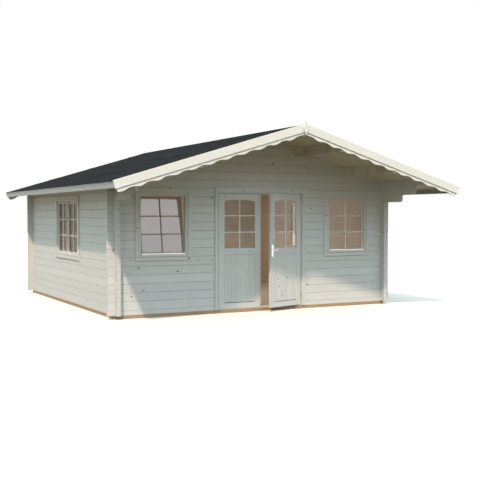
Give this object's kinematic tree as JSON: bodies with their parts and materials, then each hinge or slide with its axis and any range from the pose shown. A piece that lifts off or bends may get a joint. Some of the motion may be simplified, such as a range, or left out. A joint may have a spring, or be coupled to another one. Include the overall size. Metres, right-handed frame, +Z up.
{
  "type": "log cottage",
  "caption": "Garden cottage of interlocked logs with a low felted ridge roof, deep front overhang, scalloped barge boards, double door and small-paned windows.",
  "frame": {"origin": "on the ground, in the middle of the plan of the roof", "axes": "+X to the right along the door front, +Y from the front into the depth, +Z up"},
  "size_m": [6, 6.606, 2.9902],
  "materials": {
    "treated_timber": "brown treated timber",
    "floor_wood": "bare planed spruce",
    "painted_logs": "thin grey-white stain",
    "roof_wood": "thinly stained boards",
    "roof_felt": "mineral felt",
    "cream_trim": "cream stain",
    "painted_trim": "thin grey-white stain",
    "painted_joinery": "grey-white paint",
    "clear_glass": "clear",
    "hinge_steel": "zinc plated",
    "handle_metal": "satin"
  },
  "bodies": {
    "cottage": {"cross_bearers": "treated_timber", "side_bearers": "treated_timber", "floor_joists": "floor_wood", "floor_boards": "floor_wood", "front_wall_left": "painted_logs", "front_wall_right": "painted_logs", "front_gable": "painted_logs", "back_wall": "painted_logs", "left_wall": "painted_logs", "right_wall": "painted_logs", "ridge_purlin": "roof_wood", "side_purlins": "roof_wood", "roof_boards_left": "roof_wood", "roof_boards_right": "roof_wood", "roof_felt_left": "roof_felt", "roof_felt_right": "roof_felt", "front_barge_board_left": "cream_trim", "front_barge_board_right": "cream_trim", "rear_barge_board_left": "cream_trim", "rear_barge_board_right": "cream_trim", "front_scallop_board_left": "cream_trim", "front_scallop_board_right": "cream_trim", "rear_scallop_board_left": "cream_trim", "rear_scallop_board_right": "cream_trim", "finials": "cream_trim", "eave_fascias": "painted_trim", "door_frame": "painted_trim", "door_trim": "painted_trim", "window_trims": "painted_trim", "front_window_frames": "painted_trim", "side_window_frames": "painted_trim", "left_front_sash": "painted_joinery", "right_front_sash": "painted_joinery", "side_window_sashes": "painted_joinery", "front_window_glass": "clear_glass", "side_window_glass": "clear_glass", "frame_hinges": "hinge_steel"},
    "left_door": {"left_door_leaf": "painted_joinery", "left_door_glass": "clear_glass", "left_leaf_hinges": "hinge_steel"},
    "right_door": {"right_door_leaf": "painted_joinery", "right_door_glass": "clear_glass", "right_leaf_hinges": "hinge_steel", "door_handle_plates": "handle_metal"},
    "lever": {"door_lever": "handle_metal"}
  },
  "joints": [
    {"name": "left_door_hinge", "type": "hinge", "parent": "cottage", "child": "left_door", "pos_m": [-0.7545, -1.8933, 0.25], "axis": [0, 0, -1], "range_deg": [0, 105]},
    {"name": "right_door_hinge", "type": "hinge", "parent": "cottage", "child": "right_door", "pos_m": [0.7905, -1.8933, 0.25], "axis": [0, 0, 1], "range_deg": [-19, 86]},
    {"name": "lever_pivot", "type": "hinge", "parent": "right_door", "child": "lever", "pos_m": [0.09859, -2.09844, 1.01], "axis": [-0.3256, 0.9455, 0], "range_deg": [0, 40], "stiffness_Nm_per_rad": 1, "springref_deg": -28.65}
  ]
}
